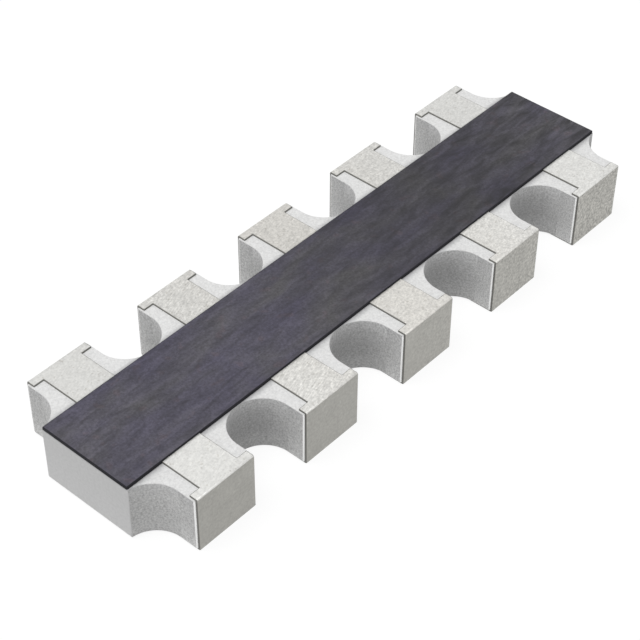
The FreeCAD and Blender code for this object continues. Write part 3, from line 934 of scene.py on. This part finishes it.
# %% [markdown]
# The ten terminals are copies of one shape. Each is moved to the middle of its finger, and the five on
# the far side are turned half round first. The finish goes by the way a face looks: up or down for the
# pad and the land, out for the plate, and the rest for the thin edges.

# %% Place the terminals
PAD, PLATE, EDGE = range(3)
PAD_SLOPE = 0.6
FLAT_SLOPE = 0.99
SQUARE_SLOPE = 0.1


def finish_terminal_faces(bm):
    """Gives each face the number of its finish."""
    for face in bm.faces:
        on_wrap = face.normal.y < 0 and abs(face.normal.x) < SQUARE_SLOPE
        if abs(face.normal.z) > (PAD_SLOPE if on_wrap else FLAT_SLOPE):
            face.material_index = PAD
        elif on_wrap or face.normal.y < -PAD_SLOPE:
            face.material_index = PLATE
        else:
            face.material_index = EDGE


terminal_shape = make_terminal_shape()
finish_terminal_faces(terminal_shape)
for number in range(1, 2 * TERMINALS_PER_SIDE + 1):
    node = f"terminal_{number:02d}"
    node_low, node_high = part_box(node)
    turn = Matrix.Rotation(math.pi if node_low.y > 0 else 0, 4, "Z")
    shift = Matrix.Translation(((node_low.x + node_high.x) / 2, 0, 0))
    bm = terminal_shape.copy()
    bm.transform(shift @ turn)
    terminal = make_piece(bm, f"plated_{node}", TIN_FINISHES)
    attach(terminal, "root")
    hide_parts(node)
terminal_shape.free()
print("terminal:", len(terminal.data.polygons), "faces")

# %% [markdown]
# ## Coating
#
# The coating is an epoxy ink, printed over the resistors and cured: dark, matt and slightly smeared
# along the row. Its sides are painted nearly black, as painted shade.

# %% Coating finishes
COATING_GREY = (0.062, 0.060, 0.064)
COATING_VIOLET = (0.064, 0.059, 0.090)
COATING_RED = (0.085, 0.062, 0.070)
# The sides are the same ink as the top, painted nearly black as painted shade.
COATING_SIDE_SHADE = (0.026, 0.026, 0.030)
COATING_RELIEF = 0.001 * MM
RED_SHARE = 0.3
COATING_FALL = (-1.6, 1.5)
FALL_SHADE = (1.25, 0.66)
COATING_RISE = (1.9, 3.1)
RISE_SHADE = (1.0, 1.4)
SMEAR_RISE = (-0.5, 2.5)
SMEAR_CONTRAST = (0.7, 1.3)
PATCH_SHADE = (1.14, 0.86)
COATING_ROUGHNESS = (0.5, 0.65)
COATING_SIDE_ROUGHNESS = (0.6, 0.8)


def make_coating_top():
    """Matt violet grey, in small smears and patches, and darker past the middle of the row."""
    material, tree, shader = new_material("overcoat_top", COATING_VIOLET, Specular_IOR_Level=0.3)
    place = use_group(tree, PLACE)
    patches = use_group(tree, SMEARS, Length_in_mm=1.0, Width_in_mm=0.5, Wander=0.5)
    smears = use_group(tree, SMEARS, Length_in_mm=0.3, Width_in_mm=0.08, Wander=0.6)
    grain = use_group(tree, GRAIN, Grains_per_mm=48.0, Contrast=1.2)
    red = use_group(tree, SPECKS, Specks_per_mm=8.0, Threshold=0.64)
    colour = mix_colours(tree, patches["Mask"], COATING_GREY, COATING_VIOLET)
    colour = mix_colours(tree, weaken(tree, red["Mask"], RED_SHARE), colour, COATING_RED)
    smear_contrast = vary(tree, band(tree, place["Along"], *SMEAR_RISE), *SMEAR_CONTRAST)
    centred = math_node(tree, "SUBTRACT", smears["Mask"], 0.5)
    light = math_node(tree, "ADD", math_node(tree, "MULTIPLY", centred, smear_contrast), 1.0)
    cloud = vary(tree, patches["Mask"], *PATCH_SHADE)
    fall = vary(tree, band(tree, place["Along"], *COATING_FALL), *FALL_SHADE)
    rise = vary(tree, band(tree, place["Along"], *COATING_RISE), *RISE_SHADE)
    colour = shade_colour(tree, colour, light, cloud, fall, rise, grain["Shade"])
    feed(tree, shader.inputs["Base Color"], colour)
    feed(tree, shader.inputs["Roughness"], vary(tree, smears["Mask"], *COATING_ROUGHNESS))
    add_bump(tree, shader, math_node(tree, "ADD", grain["Height"], smears["Mask"]), COATING_RELIEF)
    return material


def make_coating_side():
    """The sides, painted nearly black as painted shade."""
    material, tree, shader = new_material("overcoat_side", COATING_SIDE_SHADE, Specular_IOR_Level=0.12)
    grain = use_group(tree, GRAIN, Grains_per_mm=40.0, Stretch=3.0, Contrast=0.5)
    feed(tree, shader.inputs["Base Color"], shade_colour(tree, COATING_SIDE_SHADE, grain["Shade"]))
    feed(tree, shader.inputs["Roughness"], vary(tree, grain["Height"], *COATING_SIDE_ROUGHNESS))
    return material


COATING_FINISHES = [make_coating_top(), make_coating_side()]
print("coating finishes:", [finish.name for finish in COATING_FINISHES])

# %% [markdown]
# The coating's underside takes the shape of all that it covers. So its piece starts as a copy of the
# packed coating, with its triangles joined, and only the edges that show are softened.

# %% Coating strip
COATING_EDGE = 0.009 * MM
TOP, SIDE = 0, 1


def is_upper_edge(edge):
    """Whether an edge of the coating is a corner that reaches its top."""
    highest = max(vert.co.z for vert in edge.verts)
    return edge.calc_face_angle() > CORNER_ANGLE and near(highest, coating_high.z)


def make_coating():
    """The coating strip, with its upper edges softened."""
    bm = joined_copy("protective_overcoat")
    shown = [edge for edge in bm.edges if is_upper_edge(edge)]
    soften_edges(bm, shown, COATING_EDGE)
    bmesh.ops.recalc_face_normals(bm, faces=bm.faces)
    for face in bm.faces:
        face.material_index = TOP if face.normal.z > FLAT_SLOPE else SIDE
    return make_piece(bm, "coating_strip", COATING_FINISHES)


coating_strip = make_coating()
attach(coating_strip, "root")
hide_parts("protective_overcoat")
print("coating strip:", len(coating_strip.data.polygons), "faces")

# %% [markdown]
# ## Pieces under the coating and the plating
#
# The silver prints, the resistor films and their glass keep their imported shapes. They are hidden, but
# a library part is also looked at with pieces taken off, so each has its own finish: silver print is
# pale and rough, the film is a nearly black oxide and the glass is a thin glossy green grey.

# %% Finishes of the printed layers
SILVER_COLOUR = (0.66, 0.65, 0.63)
FILM_COLOUR = (0.035, 0.036, 0.040)
GLASS_COLOUR = (0.16, 0.21, 0.19)
SILVER_ROUGHNESS = (0.5, 0.75)
FILM_ROUGHNESS = (0.45, 0.7)
GLASS_ROUGHNESS = (0.12, 0.3)
PRINT_RELIEF = 0.0008 * MM


def make_silver_finish():
    """Pale and rough, with the marks of the printing mesh."""
    material, tree, shader = new_material("silver_print", SILVER_COLOUR, Metallic=1.0)
    grain = use_group(tree, GRAIN, Grains_per_mm=50.0, Contrast=0.3)
    mesh_marks = use_group(tree, GRAIN, Grains_per_mm=14.0, Stretch=3.0, Contrast=0.12)
    colour = shade_colour(tree, SILVER_COLOUR, grain["Shade"], mesh_marks["Shade"])
    feed(tree, shader.inputs["Base Color"], colour)
    feed(tree, shader.inputs["Roughness"], vary(tree, grain["Height"], *SILVER_ROUGHNESS))
    add_bump(tree, shader, grain["Height"], PRINT_RELIEF)
    return material


def make_film_finish():
    """A nearly black oxide."""
    material, tree, shader = new_material("resistor_film", FILM_COLOUR, Specular_IOR_Level=0.4)
    grain = use_group(tree, GRAIN, Grains_per_mm=45.0, Contrast=0.5)
    feed(tree, shader.inputs["Base Color"], shade_colour(tree, FILM_COLOUR, grain["Shade"]))
    feed(tree, shader.inputs["Roughness"], vary(tree, grain["Height"], *FILM_ROUGHNESS))
    add_bump(tree, shader, grain["Height"], PRINT_RELIEF)
    return material


def make_glass_finish():
    """Green grey and glossy."""
    material, tree, shader = new_material("undercoat_glass", GLASS_COLOUR)
    cloud = use_group(tree, GRAIN, Grains_per_mm=9.0, Contrast=0.25)
    feed(tree, shader.inputs["Base Color"], shade_colour(tree, GLASS_COLOUR, cloud["Shade"]))
    feed(tree, shader.inputs["Roughness"], vary(tree, cloud["Height"], *GLASS_ROUGHNESS))
    add_bump(tree, shader, cloud["Height"], PRINT_RELIEF)
    return material


# %% Dress the printed layers
PRINTED_LAYERS = {
    ("top_electrode", "common_electrode", "back_electrode"): make_silver_finish(),
    ("resistor_film",): make_film_finish(),
    ("glass_undercoat",): make_glass_finish(),
}
for starts, finish in PRINTED_LAYERS.items():
    dressed = [node for node in CAD_NODES if node.startswith(starts)]
    for node in dressed:
        for slot in CAD_NODES[node].material_slots:
            slot.material = finish
    print(finish.name, "on", len(dressed), "pieces")
